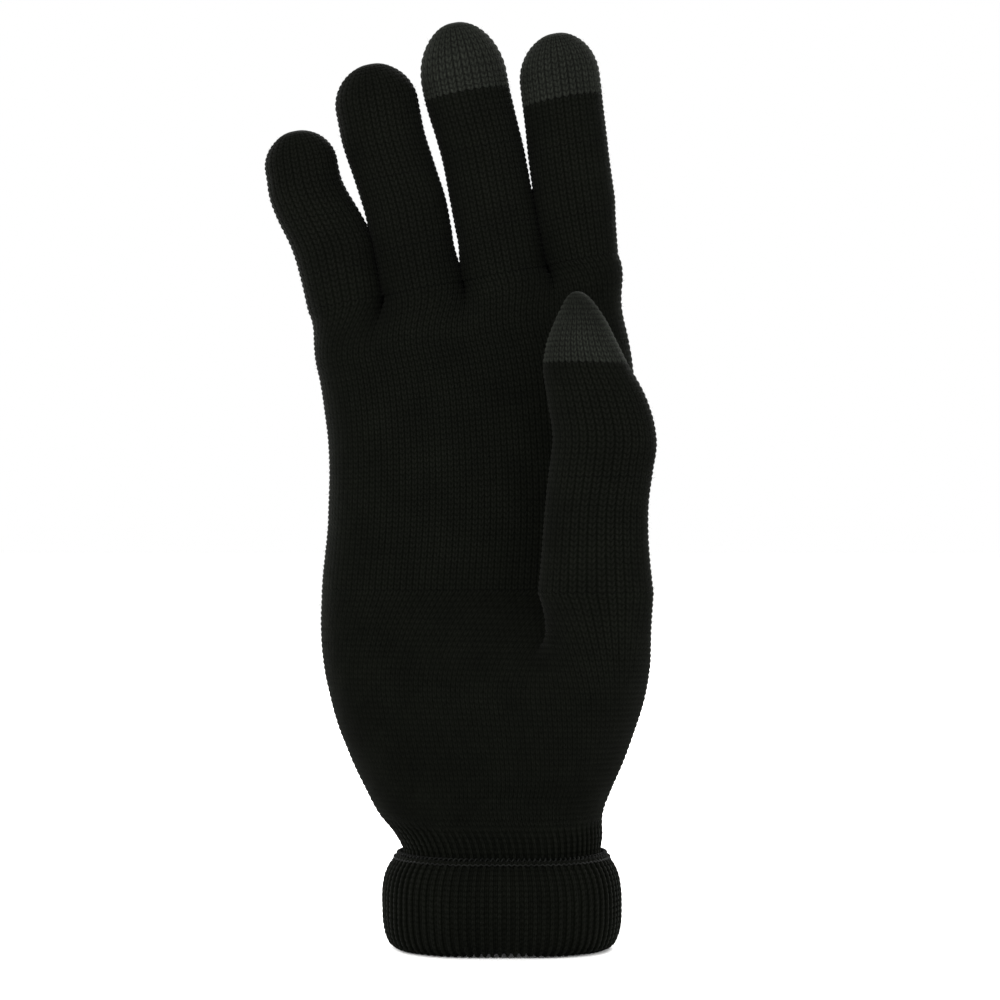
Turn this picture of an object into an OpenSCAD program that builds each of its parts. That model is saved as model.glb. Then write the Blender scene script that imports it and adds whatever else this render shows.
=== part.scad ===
// Knitted touchscreen glove for the right hand, standing in the shape it has when worn.
// +Z runs from the wrist opening to the fingertips, the palm faces -Y and the thumb is at +X.
// The origin is the centre of the wrist opening. Each section of knitting is a hollow shell,
// and the stalls are cut across at the finger joints, where the fabric bends.

/* [Fabric] */
// Thickness of the knitted fabric
wall = 1.8; // [1.2:0.1:2.2]
// Clearance between two sections that bend apart
joint_gap = 0.5; // [0.4:0.1:0.8]
// Points around each section of the hand
sides = 40; // [32:4:48]
// Points around each stall
stall_sides = 24; // [20:4:32]

/* [Wrist and cuff] */
// Half the width of the wrist
wrist_rx = 26.5; // [24:0.5:29]
// Half the depth of the wrist
wrist_ry = 18.5; // [17:0.5:21]
// Height of the turned-up cuff
cuff_h = 25; // [22:0.5:28]
// How far the turned-up cuff stands out from the wrist
cuff_puff = 5.5; // [4.5:0.1:6.5]
// Height at which the ribbed wrist ends and the palm begins
palm_z = 35; // [34:0.5:36]
// Diameter of the elastic thread
elastic_d = 0.6; // [0.4:0.1:0.7]
// Number of rounds of elastic thread
elastic_rounds = 5; // [3:1:6]

/* [Thumb] */
// Height of the thumb crotch
thumb_z = 94.5; // [92:0.5:96]
// Furthest that the thumb stall swings out
thumb_swing = 50; // [30:1:55]
// Furthest that the end of the thumb stall bends in
thumb_bend = 60; // [40:1:65]

/* [Fingers] */
// Lean of the four finger stalls and of the line of their crotches
lean = 10.5; // [9:0.5:12]
// Distance of the crotch line from the origin, along the leaning fingers
crotch_h = 175; // [173:0.5:177]
// Furthest bend at the base of a finger stall
base_bend = 70; // [50:1:75]
// Furthest bend at the middle joint of a finger stall
middle_bend = 80; // [60:1:85]
// Furthest bend at the end joint of a finger stall
end_bend = 40; // [30:1:45]
// Length of the index stall
index_l = 61.8; // [58:0.2:66]
// Length of the middle stall
middle_l = 69.5; // [66:0.5:74]
// Length of the ring stall
ring_l = 62.2; // [58:0.2:66]
// Length of the little finger's stall
pinky_l = 49.4; // [46:0.2:54]
// Length of the index stall's conductive tip
index_touch = 16.7; // [14:0.1:18]
// Length of the middle stall's conductive tip
middle_touch = 18.5; // [15:0.5:20]

/* [Hidden] */

black_knit = "#1b1b1a";
touch_knit = "#4a4b48";
elastic = "#2c2c2b";

// How tightly two lobes of one section are drawn together, per millimetre
lobe_blend = 2.4;
// Where the middle and end joints lie along a finger stall, as shares of its length
middle_joint = 0.34;
end_joint = 0.645;
// Height of a stall's round end
cap_h = 11;
// The stalls' mid-depth, and how deep their hinge line lies in the palm side
finger_y = 6;
base_ry = 9.5;
hinge_y = finger_y - base_ry + 5.5;
// The thumb's hinge lines: the outer side of its base and the inner side of its knuckle
thumb_hinge_x = 31;
knuckle_hinge_x = 19;
knuckle_z = 134;
thumb_touch_z = 154.5;

// A cut is where two sections bend apart: [direction of the bend, where the bevel starts, angle]
no_cut = [[0, 0], 0, 0];
base_cut = [[0, -1], -hinge_y, base_bend];
middle_cut = [[0, -1], -hinge_y, middle_bend];
end_cut = [[0, -1], -hinge_y, end_bend];
swing_cut = [[1, 0], thumb_hinge_x, thumb_swing];
knuckle_cut = [[-1, 0], -knuckle_hinge_x, thumb_bend];

// Each stall: [x along the crotch line, length, half width at the base, half width, drift, half depth]
index = [54, index_l, 9.9, 10.6, 5, 9.4];
middle = [32.6, middle_l, 10.5, 10.9, 0.4, 9.6];
ring = [10.4, ring_l, 10.1, 10.8, -1.6, 9.5];
pinky = [-10.3, pinky_l, 9.4, 10.1, -5, 8.9];

// The hand without the thumb: [lean, height, left edge, right edge, palm side, back]
hand_rows = [
    [0, palm_z, -30.2, 26.4, -18.4, 18.8],
    [0, 43, -36, 29, -17.5, 18.5],
    [0, 55, -41.7, 32, -16, 18],
    [0, 69, -46, 34.5, -14, 17.5],
    [0, 81, -47.7, 36, -12.5, 17],
    [0, thumb_z, -47.7, 36.5, -11, 17],
    [2.5, 115, -41.4, 42.3, -10.5, 17],
    [5, 135, -34.6, 48, -9, 17],
    [8, 155, -26.8, 54.8, -7, 17],
    [lean, crotch_h, -20.1, 64, -4.5, 16.5]
];
thumb_row = 5;

// The ball of the thumb within those first rows: [x, y, half width, half depth]
thenar = [
    [6, -1, 18, 14],
    [11, -5, 17.5, 13.5],
    [16, -9, 17, 14.5],
    [20.9, -14.5, 16, 14],
    [23.2, -19.5, 15.2, 12.5],
    [23.9, -23.5, 14.8, 11]
];

// The thumb stall: [height, x, y, half width, half depth]
thumb_rows = [
    [thumb_z, 23.9, -23.5, 14.8, 11],
    [105, 23.9, -23.3, 13.8, 10.8],
    [116, 24.3, -23, 13.4, 10.5],
    [126, 25.6, -22.9, 13.4, 10.3],
    [knuckle_z, 26.4, -22.8, 13.5, 10.2],
    [144, 24.6, -22.3, 13, 9.8],
    [thumb_touch_z, 21.3, -21.8, 10.7, 8.8],
    [160, 20.5, -21.6, 8.8, 7.5],
    [164.5, 20.3, -21.5, 6.8, 6.1],
    [168.5, 19.9, -21.5, 4.6, 4.4]
];
knuckle_row = 4;
thumb_touch_row = 6;
thumb_tip_z = 172.2;
thumb_tip_x = 19.4;

// The wrist's fabric, outside face: [height, distance outside the wrist's own oval]
rib_rows = [[1.8, 2], [12, 1.6], [20, 0.6], [26, 0], [30, 0.2]];
// The turned-up cuff's own outline, from its lip under the wrist's lower edge round to the hem
cuff_rows = [
    [1.6, -1.6], [0.6, -1.5], [0, 0], [0, cuff_puff - 2.6], [1, cuff_puff - 0.8],
    [4, cuff_puff - 0.1], [cuff_h * 0.4, cuff_puff], [cuff_h * 0.65, cuff_puff - 0.1],
    [cuff_h * 0.82, cuff_puff - 0.8], [cuff_h - 1.4, cuff_puff - 2.4], [cuff_h, 1.2],
    [cuff_h - 0.6, 0.4], [20, 0.75], [12, 1.75], [1.8, 2.15]
];
// The overlocked hem, a narrow bead that lies on the cuff's upper edge
hem_rows = [
    [cuff_h + 0.1, 0.5], [cuff_h + 0.05, 1.4], [cuff_h + 0.5, 2], [cuff_h + 1.1, 1.9],
    [cuff_h + 1.4, 1.2], [cuff_h + 1, 0.5]
];

// ---- Outlines. A lobe is an ellipse [x, y, half width, half depth]. A section is the smooth
// line drawn round one or more lobes, found from the direction that each of its points faces.

function total(v, i = 0) = i == len(v) - 1 ? v[i] : v[i] + total(v, i + 1);

function grown(lobes, by) = [for (l = lobes) [l[0], l[1], l[2] + by, l[3] + by]];

function size_facing(l, a) = norm([l[2] * cos(a), l[3] * sin(a)]);

function reach(l, a) = l[0] * cos(a) + l[1] * sin(a) + size_facing(l, a);

function edge(l, a) =
    [l[0], l[1]] + [l[2] * l[2] * cos(a), l[3] * l[3] * sin(a)] / size_facing(l, a);

function outline_point(lobes, a) =
    let (
        furthest = max([for (l = lobes) reach(l, a)]),
        weights = [for (l = lobes) exp((reach(l, a) - furthest) * lobe_blend)]
    )
    total([for (i = [0 : len(lobes) - 1]) weights[i] * edge(lobes[i], a)]) / total(weights);

// A point of a section that leans by tilt about Y, at height h along its own normal
function placed(p, tilt, h) =
    [p[0] * cos(tilt) - h * sin(tilt), p[1], p[0] * sin(tilt) + h * cos(tilt)];

// How far a rim stands back from its cut: side is 1 on the upper piece, -1 on the lower one, 0 off it
function stand_back(p, cut, side) =
    side * (joint_gap / 2 + tan(cut[2] / 2 + 1) * max(0, cut[0] * p - cut[1]));

// One closed line of points. A section is [tilt, height, lobes, cut, side], with side 0 inside
function loop(s, inset, count) = [
    for (i = [0 : count - 1])
        let (p = outline_point(grown(s[2], -inset), 360 * i / count))
        placed(p, s[0], s[1] + stand_back(p, s[3], s[4]))
];

// ---- Solids

function band_faces(first, second, count) = [
    for (i = [0 : count - 1])
        let (j = (i + 1) % count)
        each [
            [first + i, second + i, second + j],
            [first + i, second + j, first + j]
        ]
];

// Loops joined one to the next, and the last to the first
module closed_band(loops) {
    count = len(loops[0]);
    faces = [
        for (k = [0 : len(loops) - 1])
            each band_faces(k * count, (k + 1) % len(loops) * count, count)
    ];
    polyhedron(points = [for (l = loops) each l], faces = faces, convexity = 8);
}

// An open tube: its outside face, then its inside face back down
module sleeve(sections, count) {
    last = len(sections) - 1;
    closed_band(concat(
        [for (s = sections) loop(s, 0, count)],
        [for (i = [last : -1 : 0]) loop(sections[i], wall, count)]
    ));
}

// A closed fingertip: the outside loops end in one point, and the inside loops in another
module closed_end(outside, tip, inside, inner_tip) {
    count = len(outside[0]);
    loops = concat(outside, [for (i = [len(inside) - 1 : -1 : 0]) inside[i]]);
    tip_index = len(loops) * count;
    joined = [
        for (k = [0 : len(loops) - 1])
            if (k != len(outside) - 1)
                each band_faces(k * count, (k + 1) % len(loops) * count, count)
    ];
    top = (len(outside) - 1) * count;
    tips = [
        for (i = [0 : count - 1])
            let (j = (i + 1) % count)
            each [
                [top + i, tip_index, top + j],
                [top + count + i, top + count + j, tip_index + 1]
            ]
    ];
    polyhedron(
        points = concat([for (l = loops) each l], [tip, inner_tip]),
        faces = concat(joined, tips),
        convexity = 8
    );
}

// ---- Hand and wrist

function hand_lobes(r) =
    let (radius = (r[5] - r[4]) / 2, y = (r[5] + r[4]) / 2)
    [[r[2] + radius, y, radius, radius], [r[3] - radius, y, radius, radius]];

function wrist_lobes(out) = grown(
    [
        [wrist_ry - wrist_rx, 0, wrist_ry, wrist_ry],
        [wrist_rx - wrist_ry, 0, wrist_ry, wrist_ry]
    ], out);

// A ring of fabric that runs round the wrist, from its outline of [height, distance out] points
module wrist_band(rows) {
    closed_band([for (r = rows) loop([0, r[0], wrist_lobes(r[1]), no_cut, 0], 0, sides)]);
}

module wrist_rib() {
    rib = [for (r = rib_rows) [0, r[0], wrist_lobes(r[1]), no_cut, 0]];
    palm_edge = [0, palm_z, hand_lobes(hand_rows[0]), no_cut, 0];
    color(black_knit) sleeve(concat(rib, [palm_edge]), sides);
}

module cuff_turnup() {
    color(black_knit) wrist_band(cuff_rows);
}

module cuff_hem_overlock() {
    color(black_knit) wrist_band(hem_rows);
}

// Rounds of elastic thread that lie against the inside of the ribbed wrist
module wrist_elastic_threads() {
    radius = elastic_d / 2;
    for (i = [1 : elastic_rounds]) {
        z = 30 * i / (elastic_rounds + 0.5);
        inside = lookup(z, rib_rows) - wall - radius - 0.1;
        thread = [
            for (a = [0 : 60 : 300]) [z + radius * sin(a), inside + radius * cos(a)]
        ];
        color(elastic) wrist_band(thread);
    }
}

// Five-finger section: the hand's own oval and the ball of the thumb, drawn into one outline
module palm_lower() {
    rows = [
        for (i = [0 : thumb_row])
            let (lobes = concat(hand_lobes(hand_rows[i]), [thenar[i]]))
            [0, hand_rows[i][1], lobes, i == thumb_row ? swing_cut : no_cut, i == thumb_row ? -1 : 0]
    ];
    color(black_knit) sleeve(rows, sides);
}

// Four-finger section, from the thumb crotch to the finger crotches
module palm_upper() {
    last = len(hand_rows) - 1;
    rows = [
        for (i = [thumb_row : last])
            let (r = hand_rows[i], at_fingers = i == last)
            [r[0], r[1], hand_lobes(r), at_fingers ? base_cut : no_cut, at_fingers ? -1 : 0]
    ];
    color(black_knit) sleeve(rows, sides);
}

// ---- Thumb

function thumb_section(i, cut = no_cut, side = 0) =
    let (r = thumb_rows[i])
    [0, r[0], [[r[1], r[2], r[3], r[4]]], cut, side];

module thumb_stall() {
    inner = [for (i = [1 : knuckle_row - 1]) thumb_section(i)];
    sections = concat(
        [thumb_section(0, swing_cut, 1)], inner, [thumb_section(knuckle_row, knuckle_cut, -1)]
    );
    color(black_knit) sleeve(sections, stall_sides);
}

module thumb_end_band() {
    inner = [for (i = [knuckle_row + 1 : thumb_touch_row]) thumb_section(i)];
    color(black_knit) sleeve(concat([thumb_section(knuckle_row, knuckle_cut, 1)], inner), stall_sides);
}

module thumb_touch_tip() {
    rows = [for (i = [thumb_touch_row : len(thumb_rows) - 1]) thumb_section(i)];
    y = thumb_rows[len(thumb_rows) - 1][2];
    color(touch_knit) closed_end(
        [for (s = rows) loop(s, 0, stall_sides)], [thumb_tip_x, y, thumb_tip_z],
        [for (s = rows) loop(s, wall, stall_sides)], [thumb_tip_x, y, thumb_tip_z - wall * 1.2]
    );
}

// ---- Fingers. A finger f is one of the lists above, and h is a height above the crotch line

// How wide the stall is at h, as a share of its full width, with the fabric's inset taken off
function cap_share(f, h, inset) =
    let (past = max(0, h - (f[1] - cap_h)) / (cap_h - inset))
    sqrt(max(0, 1 - past * past));

function stall_lobe(f, h, inset) =
    let (
        swell = min(1, h / 15),
        half_width = f[2] + (f[3] - f[2]) * swell - inset,
        half_depth = base_ry + (f[5] - base_ry) * swell - inset,
        share = cap_share(f, h, inset)
    )
    [f[0] + f[4] * pow(h / f[1], 1.4), finger_y, half_width * share, half_depth * share];

function stall_loop(f, h, inset, cut = no_cut, side = 0) =
    loop([lean, crotch_h + h, [stall_lobe(f, h, inset)], cut, side], 0, stall_sides);

// Loops between two heights, with a cut at either end
function stall_loops(f, from, to, low_cut, high_cut, inset) = concat(
    [stall_loop(f, from, inset, low_cut, low_cut == no_cut ? 0 : 1)],
    [for (i = [1 : 2]) stall_loop(f, from + (to - from) * i / 3, inset)],
    [stall_loop(f, to, inset, high_cut, high_cut == no_cut ? 0 : -1)]
);

module stall_section(f, from, to, low_cut, high_cut) {
    inside = stall_loops(f, from, to, low_cut, high_cut, wall);
    color(black_knit) closed_band(concat(
        stall_loops(f, from, to, low_cut, high_cut, 0),
        [for (i = [len(inside) - 1 : -1 : 0]) inside[i]]
    ));
}

// The loops of a closed end, from its lower edge over the round cap
function cap_loops(f, from, low_cut, inset) =
    let (start = f[1] - cap_h)
    concat(
        [stall_loop(f, from, inset, low_cut, low_cut == no_cut ? 0 : 1)],
        [for (h = [(from + start) / 2, start]) stall_loop(f, h, inset)],
        [for (a = [24 : 20 : 84]) stall_loop(f, start + (cap_h - inset) * sin(a), inset)]
    );

module stall_tip(f, from, low_cut, shade) {
    lobe = stall_lobe(f, f[1], 0);
    color(shade) closed_end(
        cap_loops(f, from, low_cut, 0),
        placed([lobe[0], finger_y], lean, crotch_h + f[1]),
        cap_loops(f, from, low_cut, wall),
        placed([lobe[0], finger_y], lean, crotch_h + f[1] - wall)
    );
}

module stall_base(f) {
    stall_section(f, 0, f[1] * middle_joint, base_cut, middle_cut);
}

module stall_middle(f) {
    stall_section(f, f[1] * middle_joint, f[1] * end_joint, middle_cut, end_cut);
}

module end_band(f, touch) {
    stall_section(f, f[1] * end_joint, f[1] - touch, end_cut, no_cut);
}

module touch_tip(f, touch) {
    stall_tip(f, f[1] - touch, no_cut, touch_knit);
}

module plain_end(f) {
    stall_tip(f, f[1] * end_joint, end_cut, black_knit);
}

wrist_rib();
cuff_turnup();
cuff_hem_overlock();
wrist_elastic_threads();
palm_lower();
palm_upper();
thumb_stall();
thumb_end_band();
thumb_touch_tip();
stall_base(index);  // index_stall_base
stall_middle(index);  // index_stall_middle
end_band(index, index_touch);  // index_end_band
touch_tip(index, index_touch);  // index_touch_tip
stall_base(middle);  // middle_stall_base
stall_middle(middle);  // middle_stall_middle
end_band(middle, middle_touch);  // middle_end_band
touch_tip(middle, middle_touch);  // middle_touch_tip
stall_base(ring);  // ring_stall_base
stall_middle(ring);  // ring_stall_middle
plain_end(ring);  // ring_stall_end
stall_base(pinky);  // pinky_stall_base
stall_middle(pinky);  // pinky_stall_middle
plain_end(pinky);  // pinky_stall_end
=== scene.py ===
import math
from functools import partial

import bmesh
import bpy
import numpy as np
from bpy.props import FloatProperty, FloatVectorProperty, IntProperty, PointerProperty
from bpy.types import Operator, Panel, PropertyGroup
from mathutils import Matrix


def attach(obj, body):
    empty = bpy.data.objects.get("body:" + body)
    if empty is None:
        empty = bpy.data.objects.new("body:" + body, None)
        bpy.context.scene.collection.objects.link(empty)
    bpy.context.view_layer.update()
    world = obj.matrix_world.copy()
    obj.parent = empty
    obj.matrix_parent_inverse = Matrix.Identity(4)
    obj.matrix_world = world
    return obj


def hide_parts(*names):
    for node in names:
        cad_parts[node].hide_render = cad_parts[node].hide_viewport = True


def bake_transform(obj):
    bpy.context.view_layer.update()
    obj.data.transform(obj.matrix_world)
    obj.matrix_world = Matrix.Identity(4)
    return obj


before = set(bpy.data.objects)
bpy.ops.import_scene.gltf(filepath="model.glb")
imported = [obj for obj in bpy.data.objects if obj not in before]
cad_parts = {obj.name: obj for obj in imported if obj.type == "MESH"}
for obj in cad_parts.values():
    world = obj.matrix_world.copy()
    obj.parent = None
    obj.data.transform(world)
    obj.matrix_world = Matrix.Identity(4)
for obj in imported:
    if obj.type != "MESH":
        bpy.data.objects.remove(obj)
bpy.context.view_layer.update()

bl_info = {
    "name": "Knitted touchscreen glove",
    "version": (1, 0, 0),
    "blender": (4, 5, 0),
    "location": "3D View > Sidebar > Glove",
    "description": "Knits a stretch glove with conductive fingertips, course by course",
    "category": "Object",
}

MM = 0.001

# The glove is worked out in millimetres, in the frame's own axes, and turned to metres as each
# mesh is made. A wale is one column of stitches and a course is one row of them.
COLUMNS = 4  # points across each wale
ROWS = 3  # points up each course
LOBE_BLEND = 2.4  # how tightly a line follows the ellipses that it is drawn round
OUTLINE_POINTS = 1441  # points that the line is first drawn with
HAND_WALES = 124
THUMB_WALES = 36
ALL_WALES = HAND_WALES + THUMB_WALES
PINKY_EDGE = 75  # wales from the thumb crotch to the little finger's edge
INDEX_EDGE = 13  # wales from the thumb crotch to the index finger's edge

# The hand without the thumb: [height, lean in degrees, left edge, right edge, palm side, back]
HAND = np.array([
    [0, 0, -28.5, 28.5, -20.5, 20.5],
    [12, 0, -28.1, 28.1, -20.1, 20.1],
    [20, 0, -27.1, 27.1, -19.1, 19.1],
    [26, 0, -26.5, 26.5, -18.5, 18.5],
    [30, 0, -28.5, 26.9, -18.6, 18.6],
    [35, 0, -32.4, 26.8, -18.4, 18.8],
    [43, 0, -36.7, 29.6, -17.5, 18.5],
    [55, 0, -42.1, 32.5, -16, 18],
    [69, 0, -46.3, 34.8, -14, 17.5],
    [81, 0, -48, 36.3, -12.5, 17],
    [94.5, 0, -48, 36.7, -11, 17],
    [115, 2.5, -41.4, 42.3, -10.5, 17],
    [135, 5, -34.6, 48, -9, 17],
    [155, 8, -27.1, 56, -7, 17],
    [166, 9.4, -24.1, 59, -5.7, 16.8],
    [175, 10.5, -20.4, 64, -4.5, 16.5],
])
# The ball of the thumb: [height, x, y, half width, half depth]
THENAR = np.array([
    [35, 6, -1, 18.3, 14],
    [43, 11.2, -5, 18, 13.5],
    [55, 16.3, -9, 17.5, 14.5],
    [69, 21.2, -14.5, 16.6, 14],
    [81, 23.5, -19.5, 15.7, 12.5],
    [94.5, 24.1, -23.5, 15, 11],
])
# The thumb stall up to the foot of its round tip: [height, x, y, half width, half depth]
THUMB = np.array([
    [94.5, 24.1, -23.5, 15, 11],
    [105, 24, -23.3, 14, 10.8],
    [116, 24.3, -23, 13.4, 10.5],
    [126, 25.6, -22.9, 13.4, 10.3],
    [134, 26.4, -22.8, 13.5, 10.2],
    [144, 24.6, -22.3, 13, 9.8],
    [154.5, 21.3, -21.8, 10.7, 8.8],
    [160, 20.5, -21.6, 8.8, 7.5],
    [164.5, 20.3, -21.5, 6.8, 6.1],
    [168.5, 19.9, -21.5, 4.6, 4.4],
])
THUMB_TIP = [172.2, 19.4, -21.5]
THUMB_BEND = 124  # where the stall's lower and upper parts meet
TOUCH_THUMB = 153.3  # where the conductive tip starts
THUMB_CLOSING = 168  # where the tip's stitches start to fade out

# The wrist and the lower palm
WRIST_HIDDEN = [1.8, 5, 9, 13, 17]  # the wrist's rows inside the cuff, where no stitch shows
WRIST_SHOWN = 20.6  # its first row of full stitches
KNIT_FROM, KNIT_FULL = 20, 22  # where its stitches start to stand up, and where they have
RIB_FADE = 30.5  # where its ribbing starts to turn into plain knit
INNER_RIB = 0.8  # depth of the ribbing on its inner face, as a share of the outer ribs'
WRIST_TOP = 35
THUMB_CROTCH = 94.5
THUMB_PARTS = 66  # where the palm's courses start to part into the hand's and the thumb's
CROTCH_DIP = 0.8  # how far the hand's course comes forward to meet the thumb's
CROTCH_FADE = 4  # height over which that fades, above and below
# The palm's wales are fanned out towards the thumb: [wales from the little finger's edge, share of
# the course's length]; and the height at which they are fanned out in full
FAN = np.array([[0, 0], [49, 0.27], [67, 0.38], [80, 0.455], [98, 0.565], [ALL_WALES, 1]])
FAN_TOP = 88

# The fingers' own frame leans by LEAN degrees, and their crotches lie on one line in it
LEAN, CROTCH, FINGER_Y, HINGE_Y = 10.5, 175, 6, 2
WEB = 17  # height below the crotches over which the hand's courses part into the stalls'
BASE_DEPTH = 9.5  # a stall's half depth at its base
SWELL = 15  # height over which a stall swells from its base
TAPER = 0.45  # share of a stall's length from which it changes to its tip's width
CLOSING_LINE = 1.3  # half width of the line of bound-off stitches at its end
CLOSING = 2.5  # height over which its stitches fade out there
PRESS, PRESS_HEIGHT = 0.55, 1.2  # how far neighbours press together, and from what height in full
FIRST_BEND, SECOND_BEND = 0.34, 0.645  # a stall's two joints, as shares of its length
BEND_REACH = 6  # greatest height above and below the second joint of the span worked out round it
# Each stall: x along the crotch line; half widths at its base, above it and at its tip; how far
# it drifts and the heights between which it does; half depth; height of its round end; and the
# wales in each of its halves
STALLS = {
    "index": (54.9, 9.2, 10.8, 10.8, 4, 0, 90, 9.4, 12.5, 16),
    "middle": (33.4, 10.5, 11.1, 11.6, -1.3, 32, 52, 9.6, 16, 16),
    "ring": (10.7, 10.1, 11.1, 11.2, -2.6, 20, 45, 9.5, 11.5, 16),
    "pinky": (-10.1, 9.9, 10.9, 9.8, -4.7, 13, 35, 8.9, 9.5, 14),
}
# Neighbouring stalls, the height above their crotch up to which they lie together, and the
# height over which they then part
NEIGHBOURS = [("index", "middle", 17, 6), ("middle", "ring", 1, 12), ("ring", "pinky", 16, 3)]

# The cuff is drawn round the wrist's outline at CUFF_LEVEL: [height, distance outside it], from
# the lip round the fold to the hem, and then up the inside
CUFF_LEVEL = 26
CUFF = np.array([
    [1.6, -1.2], [0.5, -1], [0, 0.2], [0.1, 1.7], [1.1, 3.3], [3.4, 4.5], [6.5, 5.2], [11, 5.5],
    [16, 5.4], [19.3, 4.8], [22, 3.7], [24, 2.3], [25.3, 0.9],
])
CUFF_INSIDE = np.array([[1.8, 2.15], [12, 1.75], [20, 0.75], [24.4, 0.4]])
CUFF_FADE = 2.5  # length below the hem over which the ribbing flattens
HEM_EDGE = (25.2, 0.75)  # the overlock's place on the cuff's free edge
HEM_LINE = (24.1, 2.1)  # its needle line's
ELASTIC_TOP = 30  # the rounds of elastic thread are spread below this height


def linear(code):
    """Turn an sRGB hex colour into linear values."""
    parts = [int(code[i:i + 2], 16) / 255 for i in (1, 3, 5)]
    return [c / 12.92 if c <= 0.04045 else ((c + 0.055) / 1.055) ** 2.4 for c in parts]


# ---- Sizes and colours

class GloveSizes(PropertyGroup):
    index_length: FloatProperty(
        name="Index stall", description="Length of the index stall from its crotch",
        default=0.0613, unit="LENGTH", precision=4)
    middle_length: FloatProperty(
        name="Middle stall", description="Length of the middle stall from its crotch",
        default=0.0690, unit="LENGTH", precision=4)
    ring_length: FloatProperty(
        name="Ring stall", description="Length of the ring stall from its crotch",
        default=0.0622, unit="LENGTH", precision=4)
    pinky_length: FloatProperty(
        name="Little stall", description="Length of the little finger's stall from its crotch",
        default=0.0483, unit="LENGTH", precision=4)
    index_touch: FloatProperty(
        name="Index touch tip", description="Length of the index stall's conductive tip",
        default=0.0186, unit="LENGTH", precision=4)
    middle_touch: FloatProperty(
        name="Middle touch tip", description="Length of the middle stall's conductive tip",
        default=0.0200, unit="LENGTH", precision=4)


class GloveStitches(PropertyGroup):
    course: FloatProperty(
        name="Course height", description="Height of one course of stitches",
        default=0.00144, unit="LENGTH", precision=5)
    fabric: FloatProperty(
        name="Fabric thickness", description="Thickness of the knitted fabric",
        default=0.0015, unit="LENGTH", precision=5)
    relief: FloatProperty(
        name="Stitch relief",
        description="How far a stitch's legs stand above the gaps beside them",
        default=0.00042, unit="LENGTH", precision=5)
    slant: FloatProperty(
        name="Slant", description="Rise of each leg of a stitch, as a share of a course",
        default=0.62, subtype="FACTOR")
    rib_depth: FloatProperty(
        name="Rib depth", description="How far the purl wales of the ribbing lie back",
        default=0.0011, unit="LENGTH", precision=5)
    unevenness: FloatProperty(
        name="Unevenness", description="How far the hand-stretched fabric wanders in and out",
        default=0.0004, unit="LENGTH", precision=5)
    fibres: FloatProperty(
        name="Brushed fibres", description="Loose fibre ends on each square metre of fabric",
        default=260000, min=0)
    fibre_length: FloatProperty(
        name="Fibre length", description="Length of a loose fibre end",
        default=0.0011, unit="LENGTH", precision=5)
    seed: IntProperty(
        name="Seed", description="Fixes the unevenness and the places of the fibres", default=7)


class GloveThreads(PropertyGroup):
    elastic_diameter: FloatProperty(
        name="Elastic thread", description="Diameter of the elastic thread",
        default=0.0006, unit="LENGTH", precision=5)
    elastic_rounds: IntProperty(
        name="Elastic rounds", description="Rounds of elastic thread in the wrist", default=5)
    overlock_diameter: FloatProperty(
        name="Overlock thread", description="Diameter of the overlock thread",
        default=0.00036, unit="LENGTH", precision=5)
    overlock_stitches: IntProperty(
        name="Overlock stitches", description="Overlock stitches round the hem", default=112)


class GloveColours(PropertyGroup):
    black_yarn: FloatVectorProperty(
        name="Black yarn", description="Crowns of the black stitches", subtype="COLOR",
        default=linear("#0c0d0a"), min=0, max=1)
    # Painted shade: the colour that the gaps between the black stitches are darkened to
    black_gap_shade: FloatVectorProperty(
        name="Black gaps", description="Gaps between the black stitches", subtype="COLOR",
        default=linear("#030402"), min=0, max=1)
    touch_yarn: FloatVectorProperty(
        name="Conductive yarn", description="Crowns of the conductive stitches", subtype="COLOR",
        default=linear("#1d1f1b"), min=0, max=1)
    # Painted shade: the colour that the gaps between the conductive stitches are darkened to
    touch_gap_shade: FloatVectorProperty(
        name="Conductive gaps", description="Gaps between the conductive stitches",
        subtype="COLOR", default=linear("#0b0c0a"), min=0, max=1)
    overlock: FloatVectorProperty(
        name="Overlock thread", description="Overlock thread", subtype="COLOR",
        default=linear("#0d0e0c"), min=0, max=1)
    elastic: FloatVectorProperty(
        name="Elastic thread", description="Covered rubber thread", subtype="COLOR",
        default=linear("#1d1d1c"), min=0, max=1)
    floor: FloatVectorProperty(
        name="Floor", description="Pale studio floor", subtype="COLOR",
        default=linear("#fefefd"), min=0, max=1)


# ---- Node trees

def add(tree, kind, links=None, **settings):
    """Add a node with its settings; each of links is a socket to link or a value to set."""
    node = tree.nodes.new(kind)
    for key, value in settings.items():
        setattr(node, key, value)
    for socket, value in (links or {}).items():
        if isinstance(value, bpy.types.NodeSocket):
            tree.links.new(value, node.inputs[socket])
        else:
            node.inputs[socket].default_value = value
    return node.outputs


def maths(tree, operation, *values, **settings):
    """A math node's result."""
    return add(tree, "ShaderNodeMath", dict(enumerate(values)), operation=operation, **settings)[0]


def ranged(tree, value, start=0.0, end=1.0, low=0.0, high=1.0):
    """A value's range from start to end turned into one from low to high, and held inside it."""
    return add(tree, "ShaderNodeMapRange", {
        "Value": value, "From Min": start, "From Max": end, "To Min": low, "To Max": high})[0]


def scaled(tree, vector, factor):
    """A vector or colour times a number."""
    return add(tree, "ShaderNodeVectorMath", {0: vector, "Scale": factor}, operation="SCALE")[0]


def noise(tree, place, scale, **values):
    """Even noise from 0 to 1 over a place."""
    return add(tree, "ShaderNodeTexNoise", {"Vector": place, "Scale": scale, **values})[0]


def new_tree(name, inputs):
    """Make a geometry tree with a Geometry input and output and other named inputs."""
    tree = bpy.data.node_groups.new(name, "GeometryNodeTree")
    for label, kind in {"Geometry": "Geometry", **inputs}.items():
        tree.interface.new_socket(label, in_out="INPUT", socket_type="NodeSocket" + kind)
    tree.interface.new_socket("Geometry", in_out="OUTPUT", socket_type="NodeSocketGeometry")
    return tree, add(tree, "NodeGroupInput")


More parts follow.
